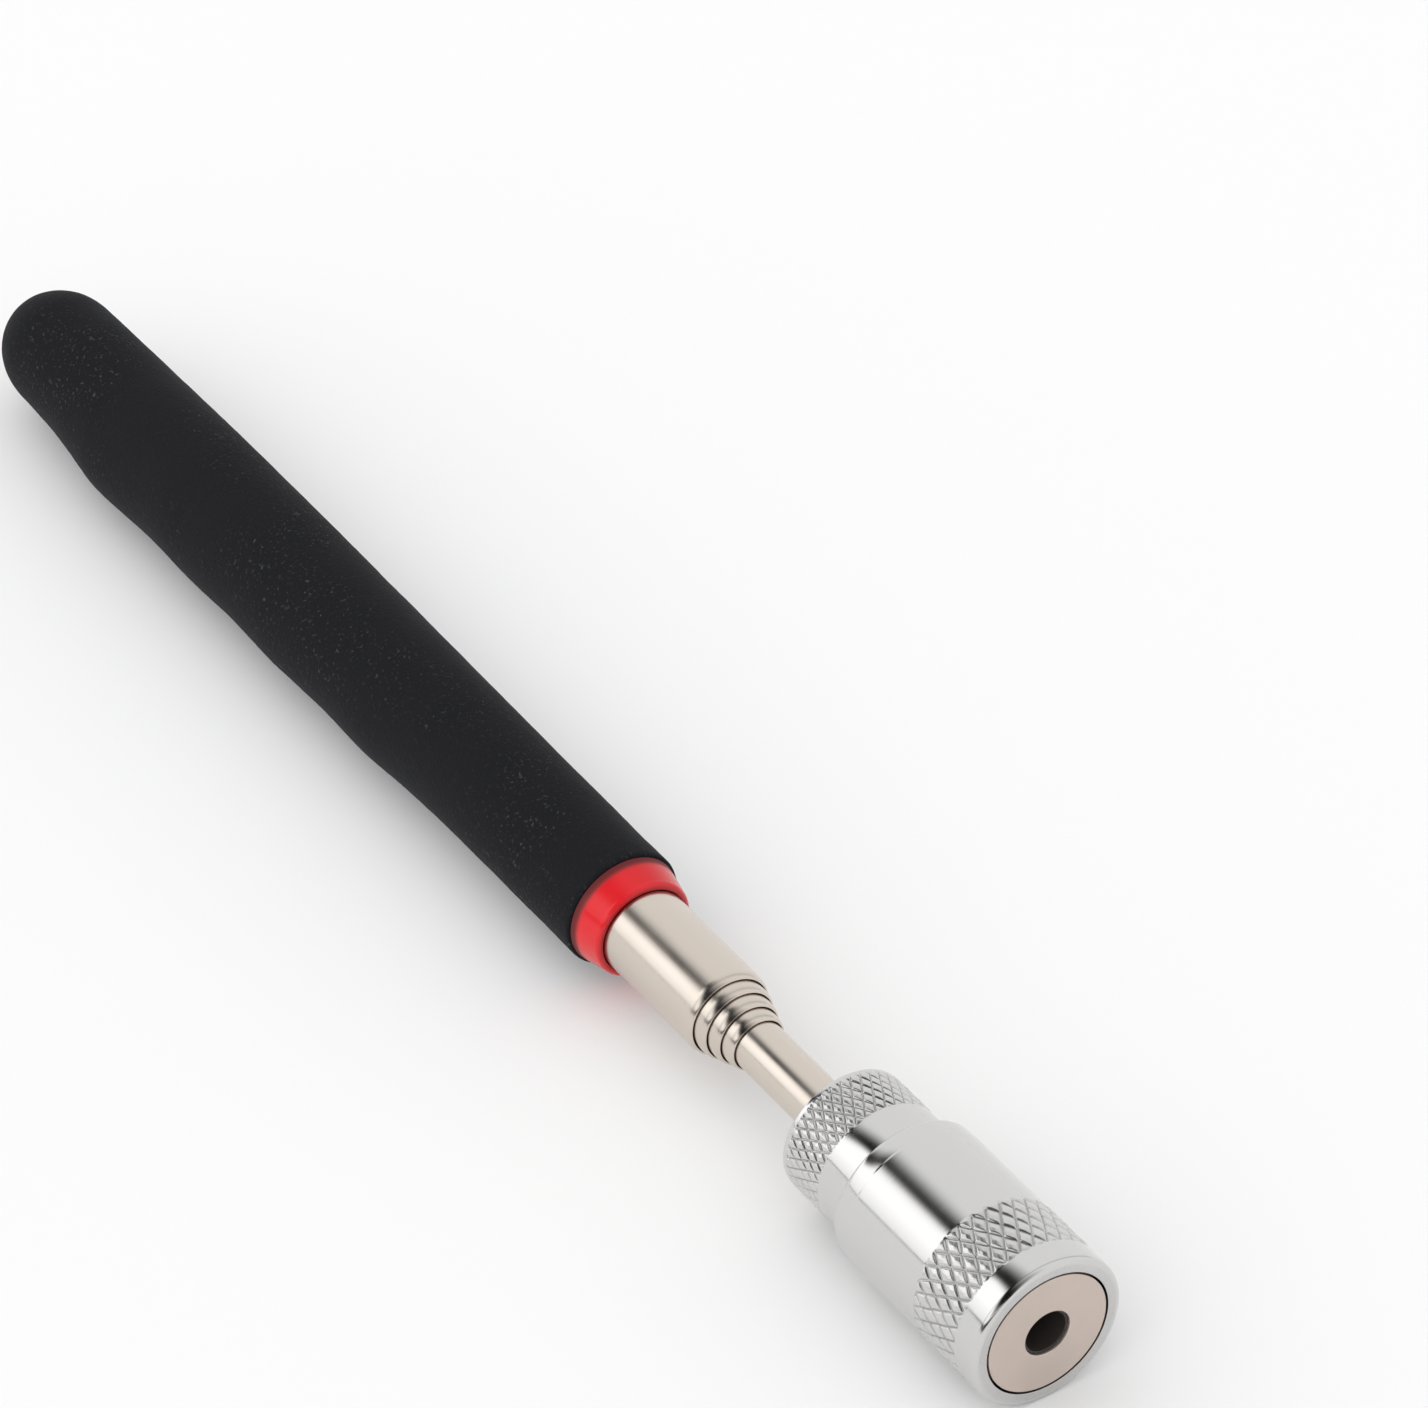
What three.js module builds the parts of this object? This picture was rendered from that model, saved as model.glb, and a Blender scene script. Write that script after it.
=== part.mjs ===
// Telescopic magnetic pickup tool with a lighted, twist-to-switch head. Millimetres, +Z up.
//
// The tool lies along X. The magnet's face looks along +X and the grip's dome ends it at -X.
// Every station called "back" is a distance behind the magnet's face, measured along the tool.
import * as THREE from 'three';

// Whole tool
const TOTAL_LENGTH = 220;
const HEAD_RADIUS = 9.5;
const AXIS_HEIGHT = HEAD_RADIUS;
const FACETS = 24;
// Radii are measured to the middle of a flat, so that a flat faces straight down.
const CORNER_PER_FLAT = 1 / Math.cos(Math.PI / FACETS);

// Telescopic sections: section 1 is fixed in the grip and section 5 carries the head
const SECTION_COUNT = 5;
const OUTER_TUBE_RADIUS = 5.4;
const SECTION_STEP = 0.575;
const TUBE_WALL = 0.25;
const OUTER_TUBE_NOSE = 60.5;
const NOSE_PITCH = 1.9;
const NOSE_LENGTH = 1.3;
const NOSE_THICKNESS = 0.35;
const NOSE_CLEARANCE = 0.08;
const NOSE_ARC_STEPS = 4;
const OUTER_TUBE_REAR = 215.6;
const SLIDING_TUBE_REAR = 212.2;
const FLARE_LENGTH = 0.6;
const FLARE_RISE = 0.2;

// Split brass sleeve that grips inside the next larger tube
const SLEEVE_LENGTH = 7;
const SLEEVE_GAP = 0.05;
const SLEEVE_SPLIT_FACETS = 2;

// Head housing
const HOUSING_LENGTH = 26.5;
const RIM_ROUNDING = 0.8;
const REAR_ROUNDING = 0.4;
const TAPER_START = 23.8;
const TAPER_DROP = 0.1;
const MAGNET_SEAT_RADIUS = 7.75;
const MAGNET_SEAT_DEPTH = 14.9;
const WEB_END = 16.4;
const WEB_HOLE_RADIUS = 4.9;
const THREAD_BORE_RADIUS = 6.9;

// Ring magnet
const MAGNET_RADIUS = 7.55;
const MAGNET_HOLE_RADIUS = 2.85;
const MAGNET_DEPTH = 9.2;

// Lamp: a 5 mm light-emitting diode, recessed in the magnet's hole
const LAMP_RADIUS = 2.5;
const LAMP_TIP = 3.4;
const LAMP_FLANGE_RADIUS = 2.9;
const LAMP_FLANGE_START = 11;
const LAMP_END = 12;
const LEAD_RADIUS = 0.25;
const LEAD_SPACING = 2.54;

// Lamp holder, its circuit board and the contact that meets the first cell
const HOLDER_SLEEVE_START = 0.35;
const HOLDER_SLEEVE_RADIUS = 2.8;
const HOLDER_START = 9.4;
const HOLDER_END = 14.7;
const HOLDER_RADIUS = 7.6;
const BOARD_RADIUS = 5.8;
const BOARD_START = 13.2;
const BOARD_THICKNESS = 1;
const CONTACT_RADIUS = 1.6;
const CONTACT_START = 14.25;
const CONTACT_END = 14.95;

// Button cells in their insulating sleeve
const CELL_COUNT = 4;
const CELL_RADIUS = 3.95;
const CELL_THICKNESS = 3.6;
const CELL_GAP = 0.05;
const CELL_TERMINAL_RADIUS = 3.1;
const CELL_TERMINAL_HEIGHT = 0.4;
const FIRST_CELL = 15.05;
const BATTERY_SLEEVE_RADIUS = 4.5;
const BATTERY_SLEEVE_END = 29.8;

// Rear collar: a knurled cap whose threaded neck screws into the housing
const COLLAR_RADIUS = 8;
const COLLAR_START = 26.8;
const COLLAR_END = 38.2;
const COLLAR_ROUNDING = 0.9;
const COLLAR_EDGE_BREAK = 0.2;
const NECK_START = 19.6;
const NECK_ROOT_RADIUS = 6.2;
const NECK_CREST_RADIUS = 6.6;
const THREAD_CREST_PITCH = 1.5;
const THREAD_CREST_COUNT = 4;
const CHAMBER_RADIUS = 4.95;
const CHAMBER_END = 35;

// Ferrule that caps the last tube and keeps the collar on it
const FERRULE_RADIUS = 4.8;
const FERRULE_START = 32.4;
const FERRULE_CAP = 0.7;
const FERRULE_END = 34.9;
const LAST_TUBE_START = 33.2;

// Conical contact spring
const SPRING_WIRE_RADIUS = 0.25;
const SPRING_FRONT = 30.2;
const SPRING_REAR = 32.1;
const SPRING_FRONT_RADIUS = 2.2;
const SPRING_REAR_RADIUS = 3.8;
const SPRING_TURNS = 2.5;
const SPRING_STEPS_PER_TURN = 14;
const SPRING_SIDES = 6;

// Foam grip
const GRIP_START = 82.5;
const GRIP_EDGE_ROUNDING = 0.6;
const GRIP_FRONT_RADIUS = 7.42;
const GRIP_WIDEST = { back: 173, radius: 8.04 };
const GRIP_BORE_END = 216.4;
const DOME_START = 211;
const DOME_RADIUS = 7.6;
const DOME_LEAD = -0.48;
const GRIP_STATIONS = 30;
const DOME_STEPS = 5;
const EDGE_STEPS = 3;
const COUNTERBORE_RADIUS = 6.1;
const COUNTERBORE_END = 87;

// Finger swells along one side of the grip
const FINGER_SIDE_ANGLE = THREE.MathUtils.degToRad(-144.5);
const FINGER_PITCH = 21;
const HEEL_SWELL_BACK = 190;
const HEEL_SWELL_RISE = 0.5;
const HEEL_SWELL_HALF_LENGTH = 18;
const FINGER_VALLEY_RISE = 0.42;
const FINGER_CREST_RISE = 0.24;
const FINGERS_START = 110;
const FINGERS_FULL = 130;
const HEEL_FALL_START = 190.5;
const HEEL_FALL_END = 208.5;

// Trim ring and end plug
const TRIM_START = 78;
const TRIM_FRONT_RADIUS = 6.3;
const TRIM_REAR_RADIUS = 7.05;
const TRIM_ROUNDING = 0.35;
const TRIM_SHOULDER = 82.4;
const TRIM_SPIGOT_RADIUS = 6;
const TRIM_END = 86.6;
const PLUG_START = 212.5;
const PLUG_FLANGE_THICKNESS = 0.65;

const FIT_GAP = 0.05;

const MATERIALS = {
  foam: { color: 0x232427, roughness: 0.95, metalness: 0 },
  redPlastic: { color: 0xd81e2a, roughness: 0.25, metalness: 0 },
  tubeSteel: { color: 0xcfc7bb, roughness: 0.25, metalness: 1 },
  chrome: { color: 0xd2d2d4, roughness: 0.18, metalness: 1 },
  magnetPlate: { color: 0xbcaea4, roughness: 0.4, metalness: 1 },
  brass: { color: 0xc9a24d, roughness: 0.35, metalness: 1 },
  springSteel: { color: 0xb4b4b0, roughness: 0.35, metalness: 1 },
  blackPlastic: { color: 0x1c1c1e, roughness: 0.6, metalness: 0 },
  whitePlastic: { color: 0xe6e4dc, roughness: 0.5, metalness: 0 },
  clearLens: { color: 0xdfe6ea, roughness: 0.1, metalness: 0 },
  cellCan: { color: 0xc4c6c8, roughness: 0.3, metalness: 1 },
  board: { color: 0x1f6b3c, roughness: 0.5, metalness: 0 },
};

const tool = new THREE.Group();
tool.position.set(TOTAL_LENGTH / 2, 0, AXIS_HEIGHT);

function addPiece(name, geometry, finish) {
  const mesh = new THREE.Mesh(geometry, new THREE.MeshStandardMaterial(MATERIALS[finish]));
  mesh.name = name;
  tool.add(mesh);
  return mesh;
}

// A round piece from its [back, radius] outline, which either closes on itself or
// starts and ends on the tool's axis.
function turned(outline) {
  const points = outline.map(([back, radius]) => new THREE.Vector2(radius * CORNER_PER_FLAT, -back));
  const onAxis = points[0].x === 0 && points.at(-1).x === 0;
  if (THREE.ShapeUtils.area(points) < 0) {
    points.reverse();
  }
  if (!onAxis) {
    points.push(points[0].clone());
  }
  const geometry = new THREE.LatheGeometry(points, FACETS, Math.PI / FACETS);
  geometry.rotateZ(-Math.PI / 2);
  return geometry;
}

// A plain ring between two stations.
function ring(start, end, innerRadius, outerRadius) {
  return turned([[start, innerRadius], [start, outerRadius], [end, outerRadius], [end, innerRadius]]);
}

// A plain round disc between two stations.
function disc(start, end, radius) {
  return turned([[start, 0], [start, radius], [end, radius], [end, 0]]);
}

// Outline points on a quarter ellipse that leaves (fromBack, fromRadius) square to the
// axis when risesFirst is set, and along the axis when it isn't.
function quarterArc(fromBack, fromRadius, toBack, toRadius, steps, risesFirst) {
  const points = [];
  for (let step = 0; step <= steps; step += 1) {
    const angle = (Math.PI / 2) * (step / steps);
    const slow = 1 - Math.cos(angle);
    const quick = Math.sin(angle);
    points.push([
      fromBack + (toBack - fromBack) * (risesFirst ? slow : quick),
      fromRadius + (toRadius - fromRadius) * (risesFirst ? quick : slow),
    ]);
  }
  return points;
}

function tubeRadius(section) {
  return OUTER_TUBE_RADIUS - SECTION_STEP * (section - 1);
}

function tubeNose(section) {
  return OUTER_TUBE_NOSE - NOSE_PITCH * (section - 1);
}

// Telescopic tubes ------------------------------------------------------------------------

// The nose is rolled in towards the next tube, and a sliding tube's rear end is flared out
// to keep its friction sleeve on.
function nosedTube(section) {
  const radius = tubeRadius(section);
  const bore = radius - TUBE_WALL;
  const nose = tubeNose(section);
  const opening = tubeRadius(section + 1) + NOSE_CLEARANCE;
  const outline = [[nose, opening]];
  outline.push(...quarterArc(nose, opening + FIT_GAP, nose + NOSE_LENGTH, radius, NOSE_ARC_STEPS, true));
  if (section === 1) {
    outline.push([OUTER_TUBE_REAR, radius], [OUTER_TUBE_REAR, bore]);
  } else {
    outline.push(...flaredRear(radius, bore));
  }
  outline.push([nose + NOSE_LENGTH + NOSE_THICKNESS, bore], [nose + NOSE_THICKNESS, opening]);
  return turned(outline);
}

function flaredRear(radius, bore) {
  const flareStart = SLIDING_TUBE_REAR - FLARE_LENGTH;
  return [
    [flareStart, radius],
    [flareStart, radius + FLARE_RISE],
    [SLIDING_TUBE_REAR, radius + FLARE_RISE],
    [SLIDING_TUBE_REAR, bore],
  ];
}

function lastTube() {
  const radius = tubeRadius(SECTION_COUNT);
  const bore = radius - TUBE_WALL;
  return turned([[LAST_TUBE_START, bore], [LAST_TUBE_START, radius], ...flaredRear(radius, bore)]);
}

// A split sleeve: a ring with a slot of a few facets' width left open underneath.
function frictionSleeve(section) {
  const inner = (tubeRadius(section) + SLEEVE_GAP) * CORNER_PER_FLAT;
  const outer = (tubeRadius(section - 1) - TUBE_WALL - SLEEVE_GAP) * CORNER_PER_FLAT;
  const facetAngle = (2 * Math.PI) / FACETS;
  const corners = FACETS - SLEEVE_SPLIT_FACETS;
  const firstAngle = facetAngle * (SLEEVE_SPLIT_FACETS / 2 + 0.5);
  const corner = (radius, index) => {
    const angle = firstAngle + facetAngle * index;
    return new THREE.Vector2(radius * Math.cos(angle), radius * Math.sin(angle));
  };
  const outline = [];
  for (let index = 0; index < corners; index += 1) {
    outline.push(corner(outer, index));
  }
  for (let index = corners - 1; index >= 0; index -= 1) {
    outline.push(corner(inner, index));
  }
  const geometry = new THREE.ExtrudeGeometry(new THREE.Shape(outline), {
    depth: SLEEVE_LENGTH,
    bevelEnabled: false,
  });
  geometry.rotateY(Math.PI / 2);
  geometry.translate(FIT_GAP + FLARE_LENGTH - SLIDING_TUBE_REAR, 0, 0);
  return geometry;
}

// Grip ------------------------------------------------------------------------------------

// The smooth side's radius: it swells gently from the front to the widest station and
// narrows again to the dome, where it is still narrowing.
function gripRadius(back) {
  const rising = back < GRIP_WIDEST.back;
  const endBack = rising ? GRIP_START : DOME_START;
  const endRadius = rising ? GRIP_FRONT_RADIUS : DOME_RADIUS;
  const lead = rising ? 0 : DOME_LEAD;
  const fraction = (back - endBack) / (GRIP_WIDEST.back - endBack);
  const ease = THREE.MathUtils.smoothstep(fraction, lead, 1);
  const easeAtEnd = THREE.MathUtils.smoothstep(0, lead, 1);
  const share = (ease - easeAtEnd) / (1 - easeAtEnd);
  return endRadius + (GRIP_WIDEST.radius - endRadius) * share;
}

// How far the finger side stands out beyond the smooth side.
function fingerSwell(back) {
  const { smoothstep } = THREE.MathUtils;
  const fade = smoothstep(back, FINGERS_START, FINGERS_FULL)
    * (1 - smoothstep(back, HEEL_FALL_START, HEEL_FALL_END));
  const crest = 0.5 + 0.5 * Math.cos((2 * Math.PI * (back - HEEL_SWELL_BACK)) / FINGER_PITCH);
  const heel = 1 - smoothstep(Math.abs(back - HEEL_SWELL_BACK), 0, HEEL_SWELL_HALF_LENGTH);
  return fade * (FINGER_VALLEY_RISE + FINGER_CREST_RISE * crest + HEEL_SWELL_RISE * heel);
}

// Moves the outside of a turned grip out on the finger side.
function swellFingerSide(geometry) {
  const position = geometry.attributes.position;
  for (let index = 0; index < position.count; index += 1) {
    const y = position.getY(index);
    const z = position.getZ(index);
    const radius = Math.hypot(y, z);
    if (radius > GRIP_FRONT_RADIUS) {
      const facing = Math.max(0, Math.cos(Math.atan2(z, y) - FINGER_SIDE_ANGLE));
      const scale = 1 + (fingerSwell(-position.getX(index)) * facing ** 2) / radius;
      position.setY(index, y * scale);
      position.setZ(index, z * scale);
    }
  }
  return geometry;
}

function foamGrip() {
  const edgeEnd = GRIP_START + GRIP_EDGE_ROUNDING;
  const outline = [
    [GRIP_BORE_END, 0],
    [GRIP_BORE_END, OUTER_TUBE_RADIUS + FIT_GAP],
    [COUNTERBORE_END, OUTER_TUBE_RADIUS + FIT_GAP],
    [COUNTERBORE_END, COUNTERBORE_RADIUS],
    [GRIP_START, COUNTERBORE_RADIUS],
  ];
  const faceRadius = GRIP_FRONT_RADIUS - GRIP_EDGE_ROUNDING / 2;
  outline.push(...quarterArc(GRIP_START, faceRadius, edgeEnd, gripRadius(edgeEnd), EDGE_STEPS, true));
  for (let station = 1; station < GRIP_STATIONS; station += 1) {
    const back = THREE.MathUtils.lerp(edgeEnd, DOME_START, station / GRIP_STATIONS);
    outline.push([back, gripRadius(back)]);
  }
  outline.push(...quarterArc(DOME_START, DOME_RADIUS, TOTAL_LENGTH, 0, DOME_STEPS, false));
  return swellFingerSide(turned(outline));
}

function trimRing() {
  const bore = OUTER_TUBE_RADIUS + FIT_GAP;
  return turned([
    [TRIM_START, bore],
    [TRIM_START, TRIM_FRONT_RADIUS - TRIM_ROUNDING],
    [TRIM_START + TRIM_ROUNDING, TRIM_FRONT_RADIUS],
    [TRIM_SHOULDER, TRIM_REAR_RADIUS],
    [TRIM_SHOULDER, TRIM_SPIGOT_RADIUS],
    [TRIM_END, TRIM_SPIGOT_RADIUS],
    [TRIM_END, bore],
  ]);
}

function endPlug() {
  const bodyRadius = OUTER_TUBE_RADIUS - TUBE_WALL - FIT_GAP;
  const flangeStart = OUTER_TUBE_REAR + FIT_GAP;
  return turned([
    [PLUG_START, 0],
    [PLUG_START, bodyRadius],
    [flangeStart, bodyRadius],
    [flangeStart, OUTER_TUBE_RADIUS],
    [flangeStart + PLUG_FLANGE_THICKNESS, OUTER_TUBE_RADIUS],
    [flangeStart + PLUG_FLANGE_THICKNESS, 0],
  ]);
}

// Rear collar and what closes the circuit inside it -----------------------------------------

function rearCollar() {
  const outline = [[NECK_START, CHAMBER_RADIUS], [NECK_START, NECK_ROOT_RADIUS]];
  for (let crest = 0; crest < THREAD_CREST_COUNT; crest += 1) {
    const start = NECK_START + THREAD_CREST_PITCH * (crest + 0.25);
    outline.push(
      [start, NECK_ROOT_RADIUS],
      [start + THREAD_CREST_PITCH / 4, NECK_CREST_RADIUS],
      [start + THREAD_CREST_PITCH / 2, NECK_ROOT_RADIUS],
    );
  }
  outline.push(
    [COLLAR_START, NECK_ROOT_RADIUS],
    [COLLAR_START, COLLAR_RADIUS - COLLAR_EDGE_BREAK],
    [COLLAR_START + COLLAR_EDGE_BREAK, COLLAR_RADIUS],
    ...quarterArc(
      COLLAR_END - COLLAR_ROUNDING,
      COLLAR_RADIUS,
      COLLAR_END,
      COLLAR_RADIUS - COLLAR_ROUNDING,
      EDGE_STEPS,
      false,
    ),
    [COLLAR_END, tubeRadius(SECTION_COUNT) + FIT_GAP],
    [CHAMBER_END, tubeRadius(SECTION_COUNT) + FIT_GAP],
    [CHAMBER_END, CHAMBER_RADIUS],
  );
  return turned(outline);
}

function stemFerrule() {
  const socket = tubeRadius(SECTION_COUNT) + FIT_GAP;
  return turned([
    [FERRULE_START, 0],
    [FERRULE_START, FERRULE_RADIUS],
    [FERRULE_END, FERRULE_RADIUS],
    [FERRULE_END, socket],
    [FERRULE_START + FERRULE_CAP, socket],
    [FERRULE_START + FERRULE_CAP, 0],
  ]);
}

class ConicalHelix extends THREE.Curve {
  getPoint(fraction, target = new THREE.Vector3()) {
    const angle = 2 * Math.PI * SPRING_TURNS * fraction;
    const radius = THREE.MathUtils.lerp(SPRING_FRONT_RADIUS, SPRING_REAR_RADIUS, fraction);
    const back = THREE.MathUtils.lerp(
      SPRING_FRONT + SPRING_WIRE_RADIUS,
      SPRING_REAR - SPRING_WIRE_RADIUS,
      fraction,
    );
    return target.set(-back, radius * Math.cos(angle), radius * Math.sin(angle));
  }
}

function contactSpring() {
  const section = new THREE.Shape();
  for (let side = 0; side < SPRING_SIDES; side += 1) {
    const angle = (2 * Math.PI * side) / SPRING_SIDES;
    const x = SPRING_WIRE_RADIUS * Math.cos(angle);
    const y = SPRING_WIRE_RADIUS * Math.sin(angle);
    if (side === 0) {
      section.moveTo(x, y);
    } else {
      section.lineTo(x, y);
    }
  }
  return new THREE.ExtrudeGeometry(section, {
    steps: Math.round(SPRING_TURNS * SPRING_STEPS_PER_TURN),
    extrudePath: new ConicalHelix(),
  });
}

// Batteries -------------------------------------------------------------------------------

// The wide can faces back, and the smaller terminal faces the lamp.
function buttonCell(index) {
  const start = FIRST_CELL + index * (CELL_THICKNESS + CELL_GAP);
  const end = start + CELL_THICKNESS;
  return turned([
    [start, 0],
    [start, CELL_TERMINAL_RADIUS],
    [start + CELL_TERMINAL_HEIGHT, CELL_TERMINAL_RADIUS],
    [start + CELL_TERMINAL_HEIGHT, CELL_RADIUS],
    [end, CELL_RADIUS],
    [end, 0],
  ]);
}

// Head ------------------------------------------------------------------------------------

function headHousing() {
  return turned([
    [0, MAGNET_SEAT_RADIUS],
    ...quarterArc(0, HEAD_RADIUS - RIM_ROUNDING, RIM_ROUNDING, HEAD_RADIUS, EDGE_STEPS, true),
    [TAPER_START, HEAD_RADIUS],
    [HOUSING_LENGTH - REAR_ROUNDING, HEAD_RADIUS - TAPER_DROP],
    [HOUSING_LENGTH, HEAD_RADIUS - TAPER_DROP - REAR_ROUNDING],
    [HOUSING_LENGTH, THREAD_BORE_RADIUS],
    [WEB_END, THREAD_BORE_RADIUS],
    [WEB_END, WEB_HOLE_RADIUS],
    [MAGNET_SEAT_DEPTH, WEB_HOLE_RADIUS],
    [MAGNET_SEAT_DEPTH, MAGNET_SEAT_RADIUS],
  ]);
}

function ledLamp() {
  const domeEnd = LAMP_TIP + LAMP_RADIUS;
  return turned([
    [LAMP_END, 0],
    [LAMP_END, LAMP_FLANGE_RADIUS],
    [LAMP_FLANGE_START, LAMP_FLANGE_RADIUS],
    [LAMP_FLANGE_START, LAMP_RADIUS],
    ...quarterArc(domeEnd, LAMP_RADIUS, LAMP_TIP, 0, DOME_STEPS, false),
  ]);
}

// A disc with a thin sleeve that lines the magnet's hole. The lamp's flange sits in a
// counterbore that opens to the rear, and the board in a wider one.
function ledHolder() {
  const flangeSeat = LAMP_FLANGE_START - FIT_GAP;
  return turned([
    [HOLDER_SLEEVE_START, LAMP_RADIUS + FIT_GAP],
    [HOLDER_SLEEVE_START, HOLDER_SLEEVE_RADIUS],
    [HOLDER_START, HOLDER_SLEEVE_RADIUS],
    [HOLDER_START, HOLDER_RADIUS],
    [HOLDER_END, HOLDER_RADIUS],
    [HOLDER_END, BOARD_RADIUS + FIT_GAP],
    [BOARD_START - FIT_GAP, BOARD_RADIUS + FIT_GAP],
    [BOARD_START - FIT_GAP, LAMP_FLANGE_RADIUS + FIT_GAP],
    [flangeSeat, LAMP_FLANGE_RADIUS + FIT_GAP],
    [flangeSeat, LAMP_RADIUS + FIT_GAP],
  ]);
}

function ledLead(side) {
  const start = LAMP_END + FIT_GAP;
  const end = BOARD_START - FIT_GAP;
  const geometry = new THREE.CylinderGeometry(LEAD_RADIUS, LEAD_RADIUS, end - start, SPRING_SIDES);
  geometry.rotateZ(Math.PI / 2);
  geometry.translate(-(start + end) / 2, (side * LEAD_SPACING) / 2, 0);
  return geometry;
}

// Assembly --------------------------------------------------------------------------------

addPiece('foam_grip', foamGrip(), 'foam');
addPiece('trim_ring', trimRing(), 'redPlastic');
addPiece('outer_tube', nosedTube(1), 'tubeSteel');
addPiece('end_plug', endPlug(), 'blackPlastic');

for (let section = 2; section <= SECTION_COUNT; section += 1) {
  const tube = section < SECTION_COUNT ? nosedTube(section) : lastTube();
  addPiece(`tube_${section}`, tube, 'tubeSteel');
  addPiece(`friction_sleeve_${section}`, frictionSleeve(section), 'brass');
}

addPiece('rear_collar', rearCollar(), 'chrome');
addPiece('stem_ferrule', stemFerrule(), 'brass');
addPiece('contact_spring', contactSpring(), 'springSteel');

const sleeveBore = CELL_RADIUS + FIT_GAP;
const batterySleeve = ring(FIRST_CELL, BATTERY_SLEEVE_END, sleeveBore, BATTERY_SLEEVE_RADIUS);
addPiece('battery_sleeve', batterySleeve, 'whitePlastic');
for (let index = 0; index < CELL_COUNT; index += 1) {
  addPiece(`button_cell_${index + 1}`, buttonCell(index), 'cellCan');
}

addPiece('head_housing', headHousing(), 'chrome');
addPiece('ring_magnet', ring(0, MAGNET_DEPTH, MAGNET_HOLE_RADIUS, MAGNET_RADIUS), 'magnetPlate');
addPiece('led_lamp', ledLamp(), 'clearLens');
addPiece('led_holder', ledHolder(), 'blackPlastic');
addPiece('led_lead_anode', ledLead(1), 'springSteel');
addPiece('led_lead_cathode', ledLead(-1), 'springSteel');
addPiece('circuit_board', disc(BOARD_START, BOARD_START + BOARD_THICKNESS, BOARD_RADIUS), 'board');
addPiece('contact_stud', disc(CONTACT_START, CONTACT_END, CONTACT_RADIUS), 'brass');

export default tool;
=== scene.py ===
"""Looks for a telescopic magnetic pickup tool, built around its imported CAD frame.

The tool lies along X with its magnet at +X. Outlines are in millimetres: each point is
(back, radius, rounding), where back is the distance behind the magnet's face and rounding
is how much of the corner is rounded off.
"""
import math

import bmesh
import bpy
from mathutils import Matrix, Vector, noise


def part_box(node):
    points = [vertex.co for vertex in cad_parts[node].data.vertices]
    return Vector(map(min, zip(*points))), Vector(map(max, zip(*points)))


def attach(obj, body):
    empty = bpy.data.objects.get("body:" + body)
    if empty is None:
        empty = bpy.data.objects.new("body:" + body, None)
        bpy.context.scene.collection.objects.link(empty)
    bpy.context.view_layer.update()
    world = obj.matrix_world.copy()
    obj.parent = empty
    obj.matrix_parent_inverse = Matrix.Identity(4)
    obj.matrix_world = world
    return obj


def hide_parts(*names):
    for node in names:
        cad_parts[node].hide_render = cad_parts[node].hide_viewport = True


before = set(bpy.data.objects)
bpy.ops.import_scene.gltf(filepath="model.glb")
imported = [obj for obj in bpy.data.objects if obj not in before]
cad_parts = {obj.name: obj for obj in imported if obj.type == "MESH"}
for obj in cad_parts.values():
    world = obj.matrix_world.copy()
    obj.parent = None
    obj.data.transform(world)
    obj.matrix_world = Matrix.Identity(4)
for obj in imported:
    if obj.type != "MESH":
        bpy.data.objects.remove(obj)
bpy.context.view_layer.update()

MM = 0.001

housing_low, housing_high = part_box("head_housing")
FACE_X = housing_high.x
AXIS_Z = (housing_low.z + housing_high.z) / 2

# Segments round a smooth piece, and steps in a rounded corner
SEGMENTS = 144
CORNER_STEPS = 5
SHARP_ANGLE = math.radians(50)

# The mesh attribute that holds dirt and painted shade, and what it holds on a knurl's lands,
# on the flat rim round the magnet and in the crease where the trim ring meets the tube (painted shade)
SHADE_AND_GRIME_ATTRIBUTE = "shade_and_grime"
LAND_MARK = 0.2
RIM_MARK = 0.4
# Painted shade in the trim ring's crease beside the tube
TUBE_CREASE_SHADE = 0.45

# Camera, from the middle of the magnet's face
VIEW_AZIMUTH = math.radians(56.73)
VIEW_ELEVATION = math.radians(38.41)
VIEW_DISTANCE = 0.734
FACE_RIGHT_OF_AIM = 0.0350
FACE_BELOW_AIM = 0.0660
LENS_MM = 176.5
SENSOR_MM = 36.0

# Studio: what the metal mirrors, as shares of a plain white tent, where the seam and the
# bar lie, and the light that dull surfaces get from the front and the back
SLOT_LIGHT = 0.01
PANEL_LIGHT = 1.62
SEAM_LIGHT = 0.08
SEAM_ANGLE = 172.2
BAR_LIGHT = 0.68
BAR_ALONG = -0.33
FRONT_LIGHT = 1.57
BACK_LIGHT = 0.68
FLOOR_HALF_LENGTH = 6.0

# Between pieces that fit into each other
FIT_GAP = 0.05

# Telescopic tubes
TUBE_COUNT = 5
TUBE_WALL = 0.25
NOSE_LENGTH = 1.3
NOSE_THICKNESS = 0.35
NOSE_CLEARANCE = 0.06
FLARE_LENGTH = 0.6
FLARE_RISE = 0.2

# Head
MAGNET_HOLE = 2.85
MAGNET_GAP = 0.24
LAMP_RADIUS = 2.5
LAMP_FLANGE = 1.0
FRONT_ROUNDING = 0.83
TAPER_START = 23.8
TAPER_DROP = 0.08
STEP_LENGTH = 0.2
STEP_DROP = 0.06
STEP_CORNER = 0.03
COLLAR_TAPER = 0.12
THREAD_BORE = 6.9
NECK_ROOT = 6.2
NECK_CREST = 6.6
NECK_PITCH = 1.5
NECK_CRESTS = 4

# Trim ring
RING_EDGE = 0.7
RING_LIP = 0.15
RING_FLARE = 0.75
RING_STATIONS = 32
SPIGOT_RADIUS = 6.0
CREASE_REACH = 1.4

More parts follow.
